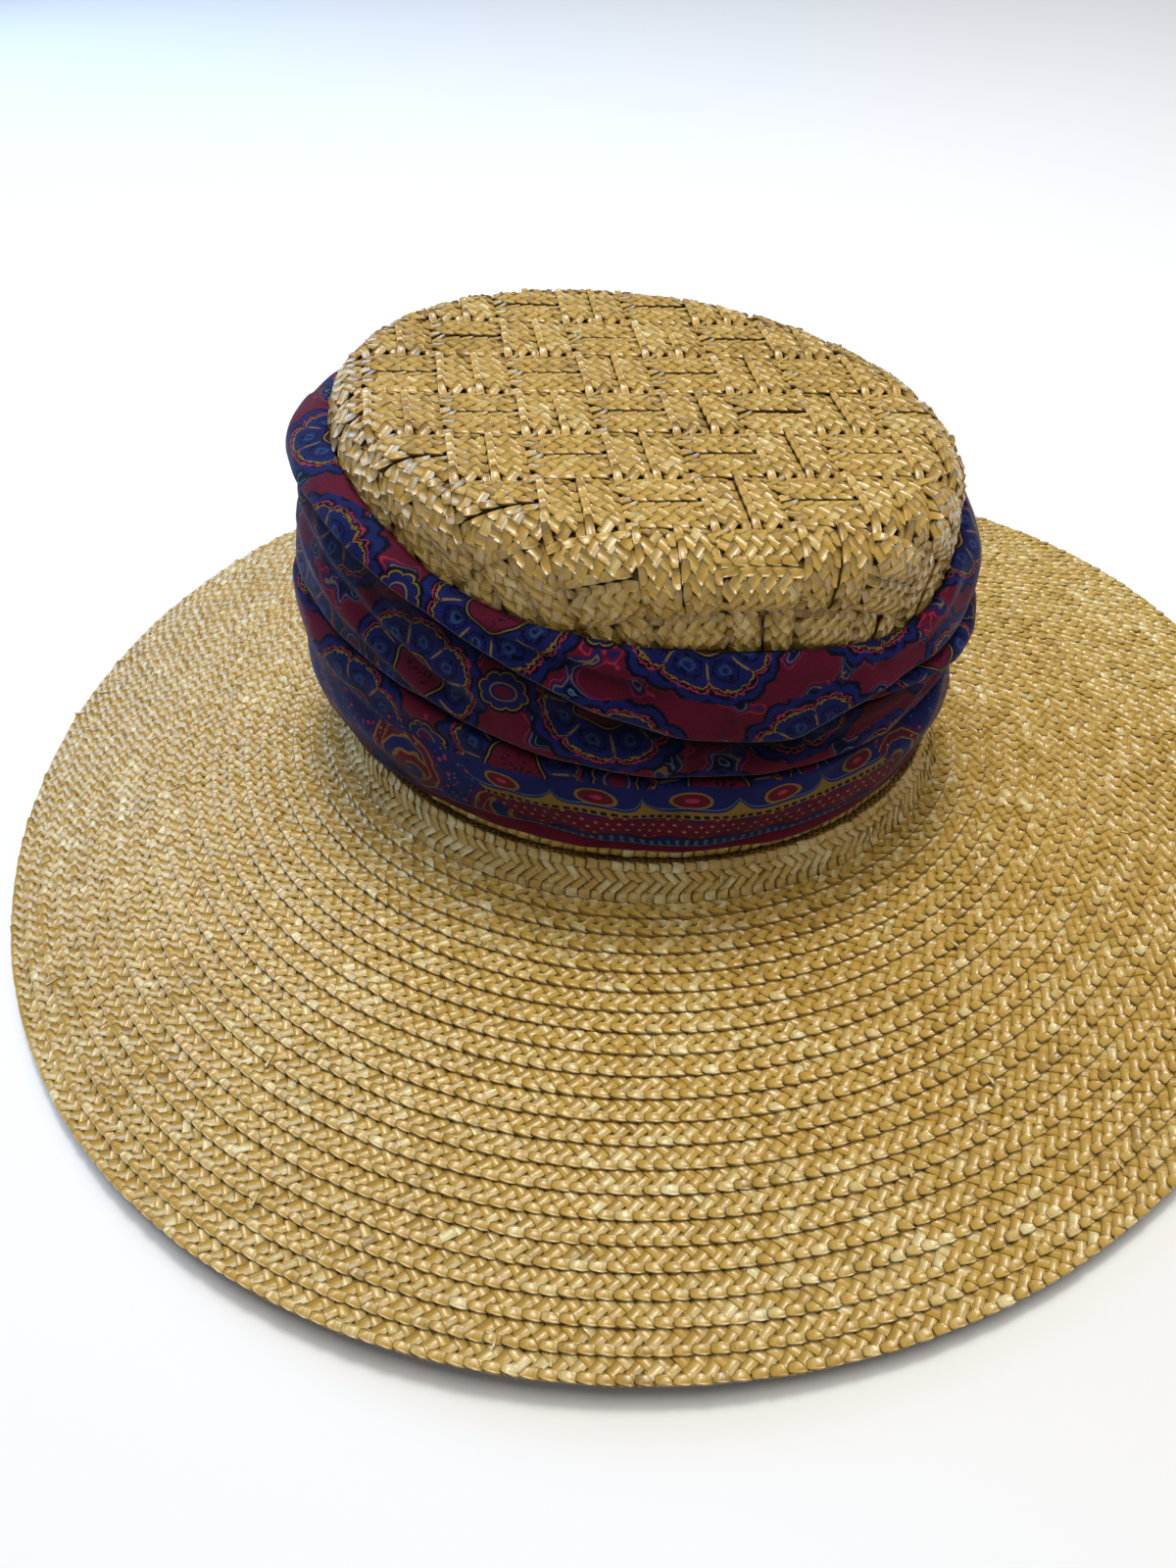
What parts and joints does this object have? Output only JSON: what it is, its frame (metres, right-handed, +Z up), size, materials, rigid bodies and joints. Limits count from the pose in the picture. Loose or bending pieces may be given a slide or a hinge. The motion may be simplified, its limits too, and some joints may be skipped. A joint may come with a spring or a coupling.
{
  "type": "wide-brimmed straw hat with a scarf band",
  "caption": "Straw hat with a flat-topped oval crown, a wide sewn-plait brim that droops gently, a plait collar and a pleated printed scarf band with a tucked end.",
  "frame": {"origin": "middle of the brim's outline in plan, on the surface that the rim rests on", "axes": "+Z up, +X along the long axis of the oval hat, +Y from the side that the picture shows towards the other side"},
  "size_m": [0.4694, 0.4388, 0.1675],
  "materials": {
    "crown_straw": "woven plait strips, golden straw with a soft gloss and dark gaps",
    "brim_straw": "sewn five-strand plait, golden straw with pale glints",
    "collar_straw": "flat herringbone plait, golden straw with a frayed edge",
    "printed_silk": "burgundy, navy and mustard printed silk, satin sheen"
  },
  "bodies": {
    "root": {"crown": "crown_straw", "brim": "brim_straw", "collar_braid": "collar_straw", "scarf_band": "printed_silk", "scarf_tuck": "printed_silk"}
  },
  "joints": []
}
